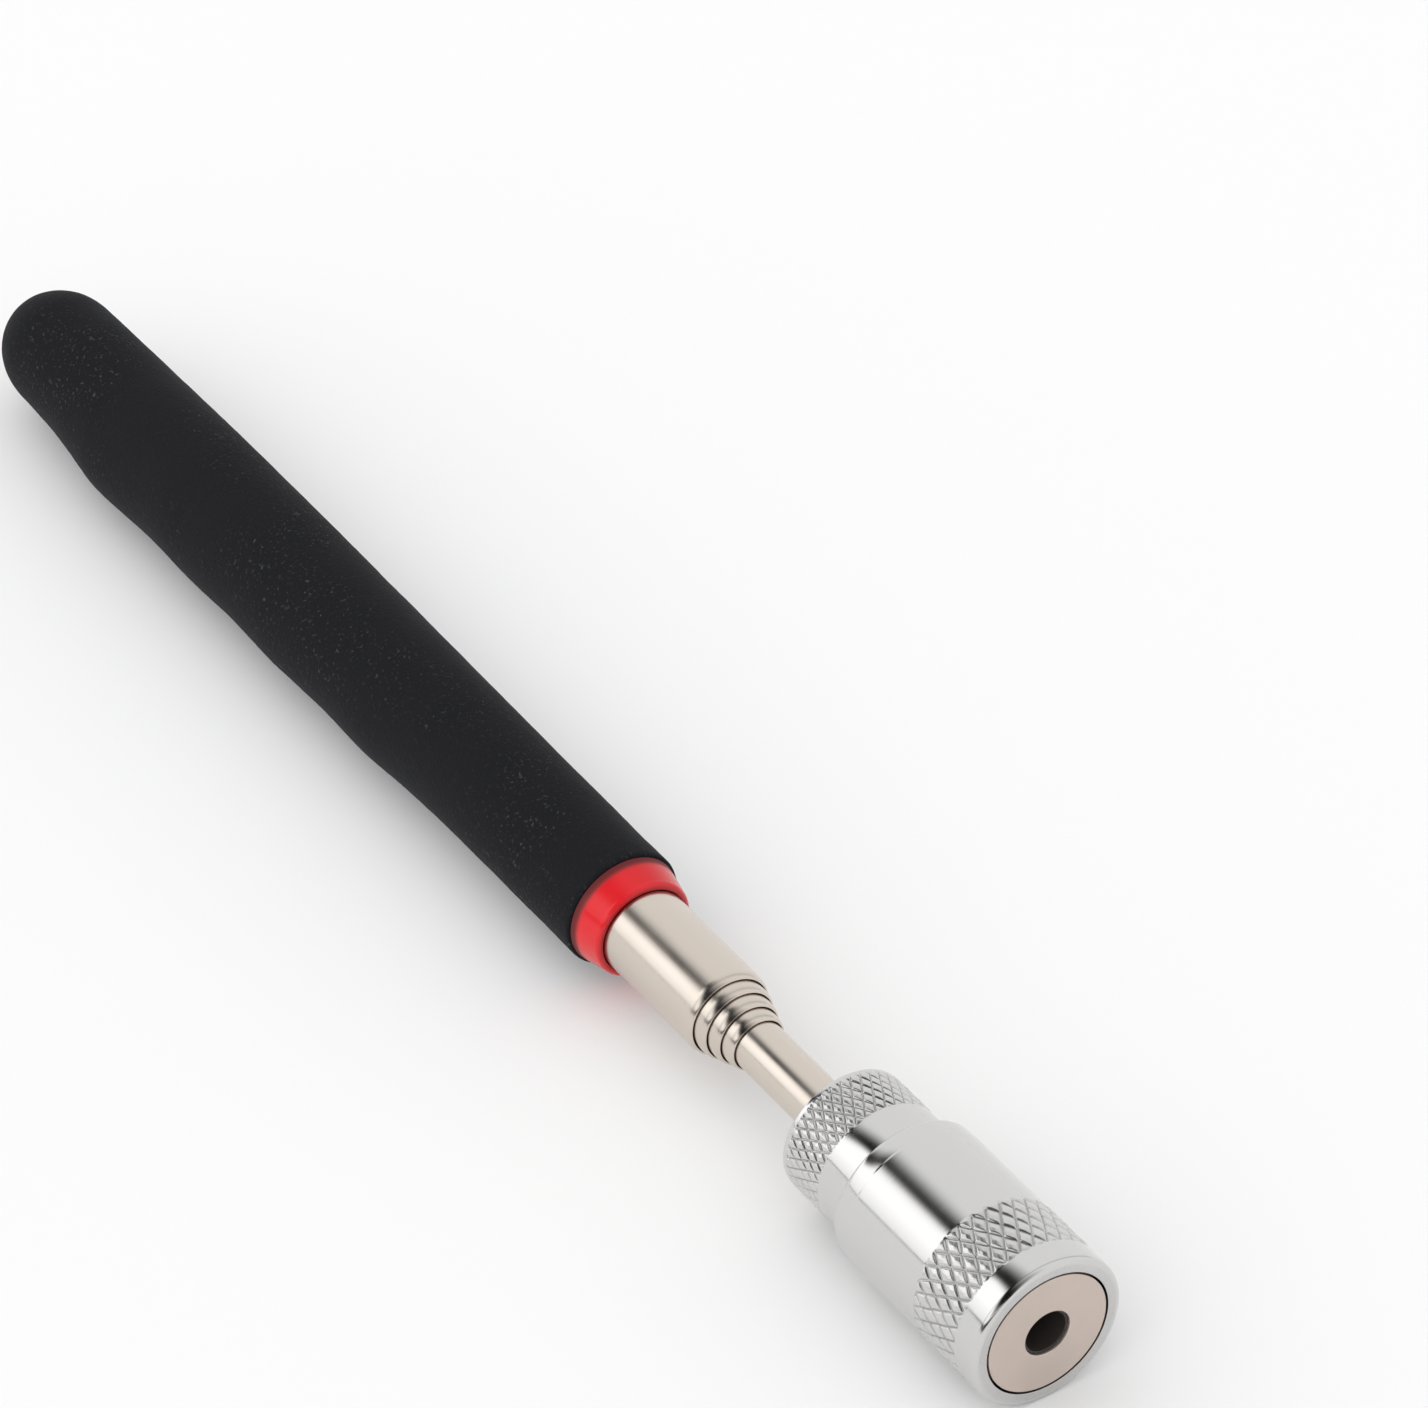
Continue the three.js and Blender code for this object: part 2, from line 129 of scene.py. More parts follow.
# Grip
SPIGOT_BORE = 6.1
GRIP_STATIONS = 260
GRIP_SEGMENTS = 200
GRIP_FRONT_RADIUS = 7.42
GRIP_WIDEST_BACK = 173.0
GRIP_WIDEST_RADIUS = 8.04
DOME_START = 211.0
DOME_RADIUS = 7.6
DOME_LEAD = -0.48
GRIP_EDGE = 0.6
FINGER_SIDE_ANGLE = math.radians(-144.5)
FINGER_PITCH = 21.0
FINGERS_START = 110.0
FINGERS_FULL = 130.0
FINGER_VALLEY_RISE = 0.42
FINGER_CREST_RISE = 0.24
HEEL_SWELL_BACK = 190.0
HEEL_SWELL_RISE = 0.5
HEEL_SWELL_HALF_LENGTH = 18.0
HEEL_FALL_START = 190.5
HEEL_FALL_END = 208.5


# Outlines --------------------------------------------------------------------------------

def back_of(x):
    """How far behind the magnet's face a frame position lies, in millimetres."""
    return (FACE_X - x) / MM


def span(node):
    """A round node's front and rear stations and its outer radius, in millimetres."""
    low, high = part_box(node)
    return back_of(high.x), back_of(low.x), (high.z - low.z) / 2 / MM


def smoothstep(value, low, high):
    share = min(max((value - low) / (high - low), 0.0), 1.0)
    return share * share * (3 - 2 * share)


def corner_points(before, corner, after, rounding):
    """A rounded corner: a curve from one side to the other that keeps inside the corner."""
    here = Vector(corner)
    to_before = Vector(before) - here
    to_after = Vector(after) - here
    reach = min(rounding, 0.45 * to_before.length, 0.45 * to_after.length)
    start = here + to_before.normalized() * reach
    end = here + to_after.normalized() * reach
    points = []
    for step in range(CORNER_STEPS + 1):
        t = step / CORNER_STEPS
        point = start * (1 - t) ** 2 + here * 2 * t * (1 - t) + end * t * t
        points.append((point.x, point.y))
    return points


def rounded(outline):
    """The outline with each corner that has a rounding turned into a short curve."""
    count = len(outline)
    open_ended = outline[0][1] == 0 and outline[-1][1] == 0
    points = []
    for index, entry in enumerate(outline):
        rounding = entry[2] if len(entry) > 2 else 0
        at_end = open_ended and index in (0, count - 1)
        if rounding and not at_end:
            before = outline[index - 1][:2]
            after = outline[(index + 1) % count][:2]
            points += corner_points(before, entry[:2], after, rounding)
        else:
            points.append(tuple(entry[:2]))
    return points


def quarter_arc(start, end, steps, rises_first):
    """Points on a quarter ellipse between two outline points."""
    points = []
    for step in range(steps + 1):
        angle = math.pi / 2 * step / steps
        slow = 1 - math.cos(angle)
        quick = math.sin(angle)
        along, out = (slow, quick) if rises_first else (quick, slow)
        points.append((start[0] + (end[0] - start[0]) * along, start[1] + (end[1] - start[1]) * out))
    return points


# Meshes ----------------------------------------------------------------------------------

def place(back, radius, angle):
    y = radius * MM * math.cos(angle)
    z = AXIS_Z + radius * MM * math.sin(angle)
    return Vector((FACE_X - back * MM, y, z))


def join_rings(first, second):
    """Faces between two rings of vertices, either of which may be a single point."""
    count = max(len(first), len(second))
    faces = []
    for k in range(count):
        following = (k + 1) % count
        if len(first) == 1:
            faces.append((first[0], second[k], second[following]))
        elif len(second) == 1:
            faces.append((first[k], second[0], first[following]))
        else:
            faces.append((first[k], second[k], second[following], first[following]))
    return faces


def turned(name, outline, segments=SEGMENTS, relief=None, mark=None):
    """A closed round piece.

    relief(back, radius, angle) is how far its surface moves out, and
    mark(back, radius, that height) is what its grime attribute holds there.
    """
    vertices = []
    marks = []
    rings = []
    for back, radius in outline:
        ring = []
        for k in range(segments if radius > 0 else 1):
            angle = 2 * math.pi * k / segments
            height = relief(back, radius, angle) if relief else 0
            ring.append(len(vertices))
            vertices.append(place(back, radius + height, angle))
            marks.append(mark(back, radius, height) if mark else 0)
        rings.append(ring)
    pairs = list(zip(rings, rings[1:]))
    if len(rings[0]) > 1:
        pairs.append((rings[-1], rings[0]))
    faces = [face for first, second in pairs for face in join_rings(first, second)]
    piece = finished_mesh(name, vertices, faces)
    if mark:
        attribute = piece.data.attributes.new(SHADE_AND_GRIME_ATTRIBUTE, "FLOAT", "POINT")
        attribute.data.foreach_set("value", marks)
    return piece


def finished_mesh(name, vertices, faces):
    """An object with outward faces, smooth except at real edges."""
    mesh = bpy.data.meshes.new(name)
    mesh.from_pydata(vertices, [], faces)
    shape = bmesh.new()
    shape.from_mesh(mesh)
    bmesh.ops.recalc_face_normals(shape, faces=shape.faces)
    shape.to_mesh(mesh)
    shape.free()
    mesh.shade_smooth()
    mesh.set_sharp_from_angle(angle=SHARP_ANGLE)
    piece = bpy.data.objects.new(name, mesh)
    bpy.context.scene.collection.objects.link(piece)
    weighted = piece.modifiers.new("weighted_normals", "WEIGHTED_NORMAL")
    weighted.keep_sharp = True
    return piece


def fit(piece, node, body, material):
    """Puts a finish on a piece, and lets it stand for its CAD node on that body."""
    piece.data.materials.append(material)
    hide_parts(node)
    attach(piece, body)
    return piece


# Materials -------------------------------------------------------------------------------

def new_material(name, colour, metallic, roughness):
    material = bpy.data.materials.new(name)
    material.use_nodes = True
    shader = material.node_tree.nodes["Principled BSDF"]
    shader.inputs["Base Color"].default_value = (*colour, 1)
    shader.inputs["Metallic"].default_value = metallic
    shader.inputs["Roughness"].default_value = roughness
    return material, shader


def add_node(owner, kind, **values):
    """A shader node; a value's name is an input socket's, with _ for a space."""
    node = owner.node_tree.nodes.new(kind)
    for key, value in values.items():
        node.inputs[key.replace("_", " ")].default_value = value
    return node


def link(owner, source, target):
    owner.node_tree.links.new(source, target)


def calculate(owner, operation, *values):
    """A maths node whose inputs are plain numbers or other nodes' outputs."""
    node = add_node(owner, "ShaderNodeMath")
    node.operation = operation
    for socket, value in zip(node.inputs, values):
        if isinstance(value, (int, float)):
            socket.default_value = value
        else:
            link(owner, value, socket)
    return node.outputs["Value"]


def ranged(owner, source, low, high, from_low=0.3, from_high=0.7, smooth=False):
    """Spreads source's values between from_low and from_high over low to high."""
    spread = add_node(owner, "ShaderNodeMapRange")
    spread.interpolation_type = "SMOOTHSTEP" if smooth else "LINEAR"
    if from_low > from_high:
        low, high, from_low, from_high = high, low, from_high, from_low
    limits = {"From Min": from_low, "From Max": from_high, "To Min": low, "To Max": high}
    for key, value in limits.items():
        spread.inputs[key].default_value = value
    link(owner, source, spread.inputs["Value"])
    return spread.outputs["Result"]


def follow(owner, source, points):
    """A value that runs in straight lines between (source's value, own value) points."""
    total = points[0][1]
    for (start, low), (end, high) in zip(points, points[1:]):
        total = calculate(owner, "ADD", total, ranged(owner, source, 0, high - low, start, end))
    return total


def product(owner, *shares):
    total = shares[0]
    for share in shares[1:]:
        total = calculate(owner, "MULTIPLY", total, share)
    return total


def stretched_place(material, scale):
    """Object coordinates scaled along each axis, so that a pattern can run one way."""
    coordinates = add_node(material, "ShaderNodeTexCoord")
    mapping = add_node(material, "ShaderNodeMapping", Scale=scale)
    link(material, coordinates.outputs["Object"], mapping.inputs["Vector"])
    return mapping.outputs["Vector"]


def noise_pattern(material, place_socket, scale, detail=3.0, roughness=0.5):
    pattern = add_node(material, "ShaderNodeTexNoise", Scale=scale, Detail=detail, Roughness=roughness)
    link(material, place_socket, pattern.inputs["Vector"])
    return pattern.outputs["Fac"]


def mixed_colour(material, share, first, second):
    mix = material.node_tree.nodes.new("ShaderNodeMix")
    mix.data_type = "RGBA"
    first_socket, second_socket = [socket for socket in mix.inputs if socket.type == "RGBA"]
    first_socket.default_value = (*first, 1)
    second_socket.default_value = (*second, 1)
    link(material, share, mix.inputs["Factor"])
    return next(socket for socket in mix.outputs if socket.type == "RGBA")


def add_bump(material, shader, height, distance, strength, under=None):
    bump = add_node(material, "ShaderNodeBump", Distance=distance, Strength=strength)
    link(material, height, bump.inputs["Height"])
    if under:
        link(material, under, bump.inputs["Normal"])
    link(material, bump.outputs["Normal"], shader.inputs["Normal"])
    return bump.outputs["Normal"]


def foam_material():
    """Closed-cell foam rubber: a dull black skin with tiny pits and a few pale specks."""
    material, shader = new_material("black_foam", (0.0078, 0.0080, 0.0105), 0.0, 0.95)
    shader.inputs["Specular IOR Level"].default_value = 0.18
    shader.inputs["Sheen Weight"].default_value = 0.03
    shader.inputs["Sheen Roughness"].default_value = 0.5
    place_socket = stretched_place(material, (1, 1, 1))
    cells = add_node(material, "ShaderNodeTexVoronoi", Scale=2600.0, Randomness=1.0)
    link(material, place_socket, cells.inputs["Vector"])
    grain = noise_pattern(material, place_socket, 1700.0, 4.0, 0.65)
    pitted = add_bump(material, shader, cells.outputs["Distance"], 0.00006, 0.6)
    add_bump(material, shader, grain, 0.00008, 0.5, under=pitted)
    specks = noise_pattern(material, place_socket, 2300.0, 2.0, 0.6)
    patches = noise_pattern(material, place_socket, 60.0, 3.0, 0.5)
    speck_share = calculate(material, "MULTIPLY", ranged(material, specks, 0.0, 1.0, 0.60, 0.80),
                            ranged(material, patches, 0.1, 1.0, 0.42, 0.62))
    colour = mixed_colour(material, speck_share, (0.0074, 0.0076, 0.0102), (0.075, 0.075, 0.082))
    link(material, colour, shader.inputs["Base Color"])
    link(material, ranged(material, patches, 0.86, 1.0), shader.inputs["Roughness"])
    return material


def shade_and_grime_share(material):
    """How much dirt and painted shade a surface holds: 0 where its mesh has no such attribute."""
    shade_and_grime = add_node(material, "ShaderNodeAttribute")
    shade_and_grime.attribute_name = SHADE_AND_GRIME_ATTRIBUTE
    return shade_and_grime.outputs["Fac"]


def metal_material(name, colour, roughness, marks_scale, marks_strength):
    """Plated metal with fine tool marks that run the way marks_scale stretches them.

    Where a mesh has the shade-and-grime attribute, a knurl is duller and its grooves hold dark dirt
    and painted shade.
    """
    material, shader = new_material(name, colour, 1.0, roughness)
    marks = noise_pattern(material, stretched_place(material, marks_scale), 1.0, 4.0, 0.6)
    wear = noise_pattern(material, stretched_place(material, (90, 90, 90)), 1.0, 5.0, 0.6)
    shade_and_grime = shade_and_grime_share(material)
    # Darker where the attribute is high: dirt and painted shade in knurl grooves, painted shade in the
    # gap round the magnet
    groove = ranged(material, shade_and_grime, 0.0, 1.0, 0.25, 0.9)
    shade_and_dirt = calculate(material, "MULTIPLY", groove, ranged(material, wear, 0.15, 0.55, 0.35, 0.6))
    darkened_colour = tuple(channel * 0.16 for channel in colour)
    link(material, mixed_colour(material, shade_and_dirt, colour, darkened_colour), shader.inputs["Base Color"])
    knurl_roughness = ranged(material, shade_and_grime, 0.0, 0.15, 0.0, LAND_MARK)
    polish = ranged(material, wear, roughness * 0.8, roughness * 1.3)
    rough = calculate(material, "ADD", polish, knurl_roughness)
    link(material, rough, shader.inputs["Roughness"])
    add_bump(material, shader, marks, 0.00002, marks_strength)
    return material


def magnet_material():
    """Nickel plate over sintered grit: even, warm and nearly matte."""
    material, shader = new_material("magnet_nickel", (0.62, 0.53, 0.475), 0.85, 0.42)
    place_socket = stretched_place(material, (1, 1, 1))
    grit = noise_pattern(material, place_socket, 2600.0, 3.0, 0.6)
    cloud = noise_pattern(material, place_socket, 160.0, 4.0, 0.55)
    link(material, ranged(material, cloud, 0.36, 0.5), shader.inputs["Roughness"])
    share = ranged(material, cloud, 0.0, 1.0)
    colour = mixed_colour(material, share, (0.59, 0.505, 0.45), (0.65, 0.555, 0.50))
    link(material, colour, shader.inputs["Base Color"])
    add_bump(material, shader, grit, 0.00002, 0.35)
    return material


def plastic_material(name, colour, roughness, grain_scale, grain_strength):
    """Moulded plastic with a faint skin texture, uneven gloss and painted shade in its creases."""
    material, shader = new_material(name, colour, 0.0, roughness)
    place_socket = stretched_place(material, (1, 1, 1))
    grain = noise_pattern(material, place_socket, grain_scale, 3.0, 0.55)
    uneven = noise_pattern(material, place_socket, 220.0, 3.0, 0.5)
    polish = ranged(material, uneven, roughness * 0.85, roughness * 1.25)
    shade_and_grime = shade_and_grime_share(material)
    rough = calculate(material, "ADD", polish, ranged(material, shade_and_grime, 0.0, 0.4, 0.0, 1.0))
    link(material, rough, shader.inputs["Roughness"])
    # Where the mesh marks a crease, the colour darkens: painted shade
    darkened_colour = tuple(channel * 0.2 for channel in colour)
    link(material, mixed_colour(material, shade_and_grime, colour, darkened_colour), shader.inputs["Base Color"])
    add_bump(material, shader, grain, 0.00003, grain_strength)
    return material


def lens_material():
    """Clear cast epoxy with faint flow lines."""
    material, shader = new_material("clear_epoxy", (0.86, 0.90, 0.92), 0.0, 0.04)
    shader.inputs["Transmission Weight"].default_value = 0.85
    shader.inputs["IOR"].default_value = 1.52
    flow = noise_pattern(material, stretched_place(material, (200, 600, 600)), 1.0, 2.0, 0.5)
    add_bump(material, shader, flow, 0.00002, 0.2)
    return material


ALONG_TOOL = (60, 5200, 5200)
ROUND_TOOL = (5200, 60, 60)
foam = foam_material()
red_plastic = plastic_material("red_plastic", (0.64, 0.004, 0.010), 0.20, 900.0, 0.08)
tube_nickel = metal_material("tube_nickel", (0.65, 0.585, 0.52), 0.20, ALONG_TOOL, 0.22)
head_chrome = metal_material("head_chrome", (0.635, 0.63, 0.625), 0.115, ROUND_TOOL, 0.12)
magnet_plate = magnet_material()
brass = metal_material("brass", (0.58, 0.37, 0.10), 0.30, ROUND_TOOL, 0.3)
spring_steel = metal_material("spring_steel", (0.45, 0.45, 0.43), 0.30, ALONG_TOOL, 0.3)
cell_can = metal_material("cell_can", (0.55, 0.56, 0.58), 0.26, ROUND_TOOL, 0.2)
black_plastic = plastic_material("black_plastic", (0.034, 0.027, 0.024), 0.5, 1400.0, 0.3)
white_plastic = plastic_material("white_plastic", (0.78, 0.77, 0.72), 0.4, 1400.0, 0.2)
green_board = plastic_material("green_board", (0.014, 0.15, 0.045), 0.35, 2200.0, 0.25)
clear_epoxy = lens_material()


# Grip ------------------------------------------------------------------------------------

def grip_radius(back, grip_start):
    """The smooth side's radius: widest near the palm, and slimmer at both ends."""
    if back < GRIP_WIDEST_BACK:
        end_back, end_radius, lead = grip_start, GRIP_FRONT_RADIUS, 0
    else:
        end_back, end_radius, lead = DOME_START, DOME_RADIUS, DOME_LEAD
    share = (back - end_back) / (GRIP_WIDEST_BACK - end_back)
    eased = smoothstep(share, lead, 1)
    eased_end = smoothstep(0, lead, 1)
    return end_radius + (GRIP_WIDEST_RADIUS - end_radius) * (eased - eased_end) / (1 - eased_end)


def finger_swell(back):
    """How far the finger side stands out beyond the smooth side."""
    fade = smoothstep(back, FINGERS_START, FINGERS_FULL)
    fade *= 1 - smoothstep(back, HEEL_FALL_START, HEEL_FALL_END)
    crest = 0.5 + 0.5 * math.cos(2 * math.pi * (back - HEEL_SWELL_BACK) / FINGER_PITCH)
    heel = 1 - smoothstep(abs(back - HEEL_SWELL_BACK), 0, HEEL_SWELL_HALF_LENGTH)
    return fade * (FINGER_VALLEY_RISE + FINGER_CREST_RISE * crest + HEEL_SWELL_RISE * heel)


def foam_relief(back, radius, angle):
    """Finger swells on one side, and the slight unevenness of moulded foam."""
    inside_bore = radius < GRIP_FRONT_RADIUS - 0.4 and back < DOME_START
    if inside_bore:
        return 0
    facing = max(0.0, math.cos(angle - FINGER_SIDE_ANGLE))
    spot = place(back, radius, angle)
    uneven = 0.05 * noise.noise(spot * 160) + 0.022 * noise.noise(spot * 700)
    return finger_swell(back) * facing ** 2 + uneven


def build_grip():
    front, rear, _ = span("foam_grip")
    bore = span("outer_tube")[2] + FIT_GAP
    bore_end = span("end_plug")[1] + 0.1
    spigot_end = span("trim_ring")[1] + 0.4
    edge_end = front + GRIP_EDGE
    outline = [
        (bore_end, 0),
        (bore_end, bore),
        (spigot_end, bore),
        (spigot_end, SPIGOT_BORE),
        (front, SPIGOT_BORE),
    ]
    face_radius = GRIP_FRONT_RADIUS - GRIP_EDGE / 2
    outline += quarter_arc((front, face_radius), (edge_end, grip_radius(edge_end, front)), 10, True)
    for station in range(1, GRIP_STATIONS):
        back = edge_end + (DOME_START - edge_end) * station / GRIP_STATIONS
        outline.append((back, grip_radius(back, front)))
    outline += quarter_arc((DOME_START, DOME_RADIUS), (rear, 0), 24, False)
    grip = turned("grip", outline, GRIP_SEGMENTS, foam_relief)
    fit(grip, "foam_grip", "handle", foam)


def build_trim_ring():
    """A ring that widens from its front edge towards the foam."""
    front, rear, rear_radius = span("trim_ring")
    front_radius = rear_radius - RING_FLARE
    bore = span("outer_tube")[2] + FIT_GAP
    shoulder = span("foam_grip")[0] - 0.1
    lip = bore + RING_LIP
    edge_end = front + RING_EDGE
    crease = shoulder - CREASE_REACH
    outline = [(front + 0.5, bore), (front + 0.05, bore + 0.05)]
    outline += quarter_arc((front, lip), (edge_end, front_radius), 16, True)
    for station in range(1, RING_STATIONS):
        share = station / RING_STATIONS
        back = edge_end + (shoulder - edge_end) * share
        outline.append((back, front_radius + RING_FLARE * share))
    outline += rounded([
        outline[-1],
        (shoulder, rear_radius, 0.1),
        (shoulder, SPIGOT_RADIUS),
        (rear, SPIGOT_RADIUS, 0.1),
        (rear, bore),
    ])[1:]

    def mark(back, radius, height):
        """Painted shade in the creases beside the tube and the foam."""
        beside_tube = 1 - smoothstep(radius, lip + 0.1, lip + 0.6)
        beside_foam = smoothstep(back, crease, shoulder - 0.5)
        return max(TUBE_CREASE_SHADE * beside_tube, beside_foam)

    ring = turned("red_trim_ring", outline, mark=mark)
    fit(ring, "trim_ring", "handle", red_plastic)


# Tubes -----------------------------------------------------------------------------------

def tube_name(number):
    return "outer_tube" if number == 1 else f"tube_{number}"


def tube_radius(number):
    """A sliding tube's flare stands proud of the tube, so it is taken off the box."""
    radius = span(tube_name(number))[2]
    return radius if number == 1 else radius - FLARE_RISE


def tube_body(number):
    return "handle" if number == 1 else f"section_{number}"


def tube_outline(number):
    front, rear, _ = span(tube_name(number))
    radius = tube_radius(number)
    bore = radius - TUBE_WALL
    outline = []
    if number < TUBE_COUNT:
        opening = tube_radius(number + 1) + NOSE_CLEARANCE
        outline.append((front + 0.12, opening))
        outline += quarter_arc((front, opening + 0.1), (front + NOSE_LENGTH, radius), 12, True)
    else:
        outline += [(front, bore), (front, radius)]
    if number > 1:
        flare = rear - FLARE_LENGTH
        outline += [(flare, radius), (flare, radius + FLARE_RISE), (rear, radius + FLARE_RISE)]
    else:
        outline.append((rear, radius))
    outline.append((rear, bore))
    if number < TUBE_COUNT:
        outline.append((front + NOSE_LENGTH + NOSE_THICKNESS, bore))
        outline.append((front + NOSE_THICKNESS, opening))
    return outline


def build_tubes():
    for number in range(1, TUBE_COUNT + 1):
        piece = turned(f"nickel_tube_{number}", tube_outline(number))
        fit(piece, tube_name(number), tube_body(number), tube_nickel)


# Head ------------------------------------------------------------------------------------

class Knurl:
    """A diamond knurl between two stations: two crossed sets of narrow grooves."""

    SAMPLES_PER_CELL = 24
    GROOVE_HALF_SHARE = 0.17
    RUN_OUT = 0.3
    WANDER = 0.05

    def __init__(self, start, end, cells_round, pitch, depth, pillow_rise):
        self.start = start
        self.end = end
        self.cells_round = cells_round
        self.pitch = pitch
        self.depth = depth
        self.pillow_rise = pillow_rise
        self.segments = cells_round * self.SAMPLES_PER_CELL

    def stretch(self, radius):
        """Outline points close enough together to hold the grooves, and one beyond each end."""
        steps = round((self.end - self.start) / self.pitch * self.SAMPLES_PER_CELL)
        step_length = (self.end - self.start) / steps
        return [(self.start + step_length * step, radius) for step in range(-1, steps + 2)]

    def relief(self, least_radius):
        """The relief of every surface that lies outside least_radius."""
        def height(back, radius, angle):
            if radius < least_radius or not self.start <= back <= self.end:
                return 0
            around = angle * self.cells_round / (2 * math.pi)
            along = (back - self.start) / self.pitch
            wander = self.WANDER * noise.noise(place(back, radius, angle) * 600)
            turns = (around + along + wander, around - along + wander)
            gaps = [abs((turn + 0.5) % 1.0 - 0.5) for turn in turns]
            reach = min(1.0, min(gaps) / self.GROOVE_HALF_SHARE)
            groove = 0.5 + 0.5 * math.cos(math.pi * reach)
            pillow = 4 * gaps[0] * gaps[1]
            fade = min(1.0, (back - self.start) / self.RUN_OUT, (self.end - back) / self.RUN_OUT)
            return fade * (self.pillow_rise * pillow - self.depth * groove)

        return height

    def mark(self, back, radius, height):
        """The shade-and-grime attribute: 0 on smooth metal, LAND_MARK on the lands and 1 in a groove,
        where it means dirt and painted shade.
        """
        return max(LAND_MARK, -height / self.depth) if height else 0.0


HOUSING_KNURL = Knurl(3.5, 11.3, 33, 3.1, 0.17, 0.11)
COLLAR_KNURL = Knurl(31.3, 37.6, 38, 2.3, 0.16, 0.1)


def build_housing():
    front, rear, radius = span("head_housing")
    magnet_seat = span("ring_magnet")[2] + MAGNET_GAP
    holder_rear = span("led_holder")[1]
    battery_bore = span("battery_sleeve")[2] + 0.4
    seat_depth = holder_rear + 0.2
    web_end = seat_depth + 1.5
    outline = rounded([
        (front, magnet_seat, 0.06),
        (front, radius, FRONT_ROUNDING),
        (HOUSING_KNURL.start, radius),
    ])[:-1]
    outline += HOUSING_KNURL.stretch(radius)
    outline += rounded([
        (HOUSING_KNURL.end, radius),
        (TAPER_START - STEP_CORNER, radius),
        (TAPER_START, radius),
        (TAPER_START + STEP_LENGTH, radius - STEP_DROP),
        (TAPER_START + STEP_LENGTH + STEP_CORNER, radius - STEP_DROP),
        (rear, radius - TAPER_DROP, 0.8),
        (rear, THREAD_BORE, 0.3),
        (web_end, THREAD_BORE),
        (web_end, battery_bore),
        (seat_depth, battery_bore),
        (seat_depth, magnet_seat),
    ])[1:]

    def mark(back, radius, height):
        """Painted shade fills the gap round the magnet, and the flat rim is a little darker and
        duller.
        """
        in_gap = radius < magnet_seat + 0.01 and back > front + 0.1
        on_rim = back < front + 0.01
        # Full painted shade in the gap round the magnet
        if in_gap:
            return 1.0
        if on_rim:
            return RIM_MARK
        return HOUSING_KNURL.mark(back, radius, height)

    relief = HOUSING_KNURL.relief(radius - 1)
    piece = turned("chrome_housing", outline, HOUSING_KNURL.segments, relief, mark)
    fit(piece, "head_housing", "head", head_chrome)


def build_collar():
    front, rear, radius = span("rear_collar")
    shoulder = span("head_housing")[1] + 0.3
    chamber = span("stem_ferrule")[2] + 0.15
    chamber_end = span("stem_ferrule")[1] + 0.1
    stem = tube_radius(TUBE_COUNT) + FIT_GAP
    neck = [(front, chamber), (front, NECK_ROOT)]
    for crest in range(NECK_CRESTS):
        foot = front + NECK_PITCH * (crest + 0.25)
        neck += [
            (foot, NECK_ROOT),
            (foot + NECK_PITCH / 4, NECK_CREST),
            (foot + NECK_PITCH / 2, NECK_ROOT),
        ]
    cap = rounded([
        (shoulder, NECK_ROOT),
        (shoulder, radius + COLLAR_TAPER, 0.2),
        (COLLAR_KNURL.start, radius),
    ])[:-1]
    outline = neck + cap + COLLAR_KNURL.stretch(radius)
    outline += rounded([
        (COLLAR_KNURL.end, radius),
        (rear, radius, 1.1),
        (rear, stem, 0.25),
        (chamber_end, stem),
        (chamber_end, chamber),
        (front, chamber),
    ])[1:-1]
    relief = COLLAR_KNURL.relief(radius - 1)
    piece = turned("chrome_collar", outline, COLLAR_KNURL.segments, relief, COLLAR_KNURL.mark)
    fit(piece, "rear_collar", "section_5", head_chrome)


def build_magnet():
    front, rear, radius = span("ring_magnet")
    outline = rounded([
        (front, MAGNET_HOLE, 0.16),
        (front, radius, 0.1),
        (rear, radius, 0.1),
        (rear, MAGNET_HOLE, 0.16),
    ])
    piece = turned("nickel_ring_magnet", outline)
    fit(piece, "ring_magnet", "head", magnet_plate)


def build_lamp():
    front, rear, flange = span("led_lamp")
    flange_front = rear - LAMP_FLANGE
    dome_end = front + LAMP_RADIUS
    outline = [(rear, 0)]
    outline += rounded([(rear, flange, 0.1), (flange_front, flange, 0.1), (flange_front, LAMP_RADIUS)])
    outline += quarter_arc((dome_end, LAMP_RADIUS), (front, 0), 16, False)
    fit(turned("clear_lamp", outline, 64), "led_lamp", "head", clear_epoxy)


def build_lamp_holder():
    """A disc behind the magnet, with a thin sleeve that lines the magnet's hole; the sleeve's dark
    plastic also paints the shade deep in the hole.
    """
    front, rear, radius = span("led_holder")
    disc_front = span("ring_magnet")[1] + 0.2
    board_front = span("circuit_board")[0] - FIT_GAP
    board_radius = span("circuit_board")[2] + FIT_GAP
    flange_front = span("led_lamp")[1] - LAMP_FLANGE - FIT_GAP
    flange_radius = span("led_lamp")[2] + FIT_GAP
    bore = LAMP_RADIUS + FIT_GAP
    sleeve_radius = MAGNET_HOLE - FIT_GAP
    outline = rounded([
        (front, bore, 0.06),
        (front, sleeve_radius, 0.08),
        (disc_front, sleeve_radius),
        (disc_front, radius, 0.3),
        (rear, radius, 0.3),
        (rear, board_radius),
        (board_front, board_radius),
        (board_front, flange_radius),
        (flange_front, flange_radius),
        (flange_front, bore),
    ])
    fit(turned("lamp_holder", outline), "led_holder", "head", black_plastic)


def finish_inner_nodes():
    """Pieces inside the tool keep their CAD shape and get their real finish."""
    finishes = {
        "end_plug": black_plastic,
        "battery_sleeve": white_plastic,
        "stem_ferrule": brass,
        "contact_stud": brass,
        "contact_spring": spring_steel,
        "led_lead_anode": spring_steel,
        "led_lead_cathode": spring_steel,
        "circuit_board": green_board,
    }
    for number in range(2, TUBE_COUNT + 1):
        finishes[f"friction_sleeve_{number}"] = brass
    for number in range(1, 5):
        finishes[f"button_cell_{number}"] = cell_can
    for node, material in finishes.items():
        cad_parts[node].material_slots[0].material = material


# Studio ----------------------------------------------------------------------------------

